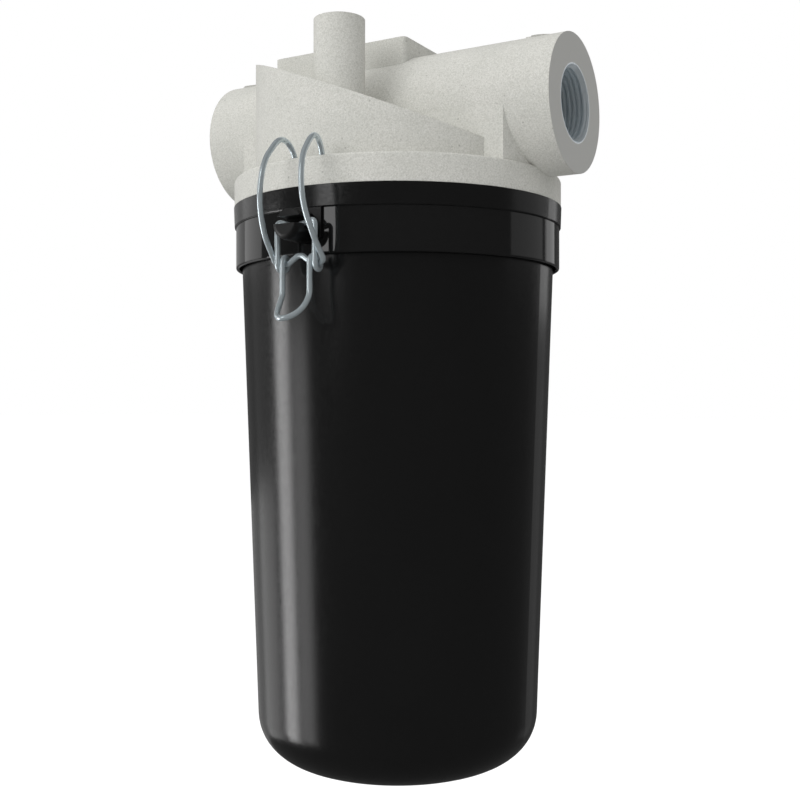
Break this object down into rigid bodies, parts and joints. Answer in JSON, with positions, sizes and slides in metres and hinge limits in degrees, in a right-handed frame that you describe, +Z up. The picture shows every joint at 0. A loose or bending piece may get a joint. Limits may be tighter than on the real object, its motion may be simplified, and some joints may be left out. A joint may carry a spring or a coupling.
{
  "type": "compressed air filter",
  "caption": "In-line compressed air filter: cast head with threaded ports, deep black bowl held by wire latches, pleated element and drain knob.",
  "frame": {"origin": "centre of the top mounting face, on the axis of the bowl", "axes": "+Z up along the bowl's axis, +X towards the outlet port, latches at -Y (front) and +Y (rear)"},
  "size_m": [0.1416, 0.151, 0.2722],
  "materials": {
    "cast_aluminium": "sand-cast, fine speckle; machined bright inside the ports",
    "bowl_black": "satin black moulding with a very fine grain",
    "band_black": "gloss black",
    "plated_wire": "bright zinc-plated spring wire",
    "seal_rubber": "black nitrile rubber",
    "pale_plastic": "natural moulded plastic",
    "plated_steel": "plated sheet and bar",
    "filter_paper": "pleated filter medium",
    "drainage_felt": "needled felt",
    "drain_brass": "machined",
    "knob_black": "moulded, fluted grip"
  },
  "bodies": {
    "head_assembly": {"head": "cast_aluminium", "deflector": "pale_plastic", "element_top_gasket": "seal_rubber", "element_top_cap": "plated_steel", "element_core": "plated_steel", "element_media": "filter_paper", "element_sleeve": "drainage_felt", "element_bottom_cap": "plated_steel", "element_seal": "seal_rubber", "quiet_zone_baffle": "pale_plastic", "element_washer": "plated_steel", "element_nut": "plated_steel", "tie_rod": "plated_steel", "tie_rod_locknut": "plated_steel"},
    "bowl_assembly": {"bowl": "bowl_black", "bowl_seal": "seal_rubber", "latch_band": "band_black", "latch_lug_front": "band_black", "latch_lug_rear": "band_black", "drain_body": "drain_brass", "drain_gasket": "seal_rubber", "drain_nut": "drain_brass"},
    "front_lever": {"latch_lever_front": "plated_wire"},
    "front_bail": {"latch_bail_front": "plated_wire"},
    "rear_lever": {"latch_lever_rear": "plated_wire"},
    "rear_bail": {"latch_bail_rear": "plated_wire"},
    "drain_valve": {"drain_stem": "drain_brass", "drain_stem_seal": "seal_rubber", "drain_knob": "knob_black"}
  },
  "joints": [
    {"name": "bowl_removal", "type": "slide", "parent": "head_assembly", "child": "bowl_assembly", "axis": [0, 0, -1], "range_m": [0, 0.215]},
    {"name": "front_lever_swing", "type": "hinge", "parent": "bowl_assembly", "child": "front_lever", "pos_m": [0, -0.066, -0.07365], "axis": [-1, 0, 0], "range_deg": [0, 150]},
    {"name": "front_bail_swing", "type": "hinge", "parent": "front_lever", "child": "front_bail", "pos_m": [0, -0.0637, -0.0864], "axis": [-1, 0, 0], "range_deg": [-180, 0]},
    {"name": "rear_lever_swing", "type": "hinge", "parent": "bowl_assembly", "child": "rear_lever", "pos_m": [0, 0.066, -0.07365], "axis": [1, 0, 0], "range_deg": [0, 150]},
    {"name": "rear_bail_swing", "type": "hinge", "parent": "rear_lever", "child": "rear_bail", "pos_m": [0, 0.0637, -0.0864], "axis": [1, 0, 0], "range_deg": [-180, 0]},
    {"name": "drain_turn", "type": "hinge", "parent": "bowl_assembly", "child": "drain_valve", "pos_m": [0, 0, -0.2722], "axis": [0, 0, 1], "range_deg": [0, 90]}
  ],
  "couplings": [
    {"joint": "front_bail_swing", "follows": "front_lever_swing", "ratio": -1.2},
    {"joint": "rear_bail_swing", "follows": "rear_lever_swing", "ratio": -1.2}
  ]
}
